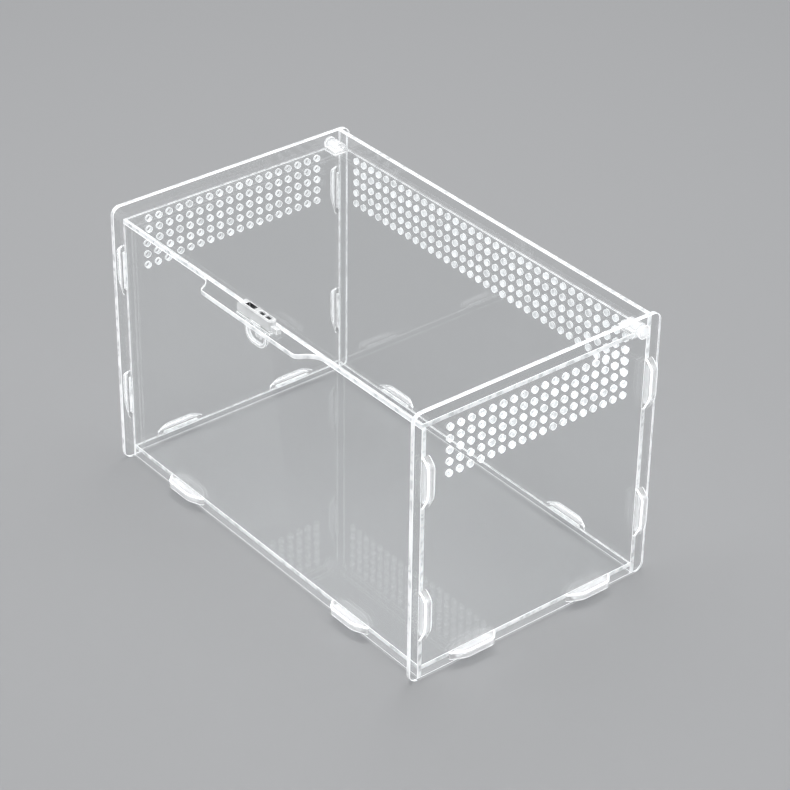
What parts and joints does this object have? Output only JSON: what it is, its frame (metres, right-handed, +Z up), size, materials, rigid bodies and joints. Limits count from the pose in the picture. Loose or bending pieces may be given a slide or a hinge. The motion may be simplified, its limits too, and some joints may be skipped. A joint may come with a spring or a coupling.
{
  "type": "acrylic terrarium",
  "caption": "Clear flat-pack terrarium box with vented side and back panels, joint clips, a raised floor and a hinged lid with a finger tongue and a slide latch.",
  "frame": {"origin": "middle of the whole object's footprint, on the surface that the box stands on", "axes": "+X along the length to the right seen from the front, +Y from the front to the back, +Z up"},
  "size_m": [0.312, 0.191, 0.187],
  "materials": {
    "clear_sheet": "polished clear acrylic sheet with laser-cut edges",
    "clip_moulding": "clear moulded plastic, glossy",
    "hinge_moulding": "clear moulded plastic, glossy",
    "pin_moulding": "clear moulded plastic, glossy",
    "latch_moulding": "clear moulded plastic, satin gloss"
  },
  "bodies": {
    "housing": {"left_side_panel": "clear_sheet", "right_side_panel": "clear_sheet", "front_panel": "clear_sheet", "back_panel": "clear_sheet", "floor_panel": "clear_sheet", "latch_keeper": "latch_moulding", "left_front_lower_clip": "clip_moulding", "left_front_upper_clip": "clip_moulding", "left_rear_lower_clip": "clip_moulding", "left_rear_upper_clip": "clip_moulding", "floor_left_front_clip": "clip_moulding", "floor_left_rear_clip": "clip_moulding", "right_front_lower_clip": "clip_moulding", "right_front_upper_clip": "clip_moulding", "right_rear_lower_clip": "clip_moulding", "right_rear_upper_clip": "clip_moulding", "floor_right_front_clip": "clip_moulding", "floor_right_rear_clip": "clip_moulding", "floor_front_left_clip": "clip_moulding", "floor_front_right_clip": "clip_moulding", "floor_rear_left_clip": "clip_moulding", "floor_rear_right_clip": "clip_moulding"},
    "lid": {"lid_panel": "clear_sheet", "left_hinge_knuckle": "hinge_moulding", "right_hinge_knuckle": "hinge_moulding", "left_hinge_pin": "pin_moulding", "right_hinge_pin": "pin_moulding", "latch_housing": "latch_moulding", "latch_loop": "latch_moulding"},
    "slider": {"latch_slider": "latch_moulding"}
  },
  "joints": [
    {"name": "lid_hinge", "type": "hinge", "parent": "housing", "child": "lid", "pos_m": [0, 0.08125, 0.178], "axis": [-1, 0, 0], "range_deg": [0, 115]},
    {"name": "latch_slide", "type": "slide", "parent": "lid", "child": "slider", "axis": [-1, 0, 0], "range_m": [0, 0.004]}
  ]
}
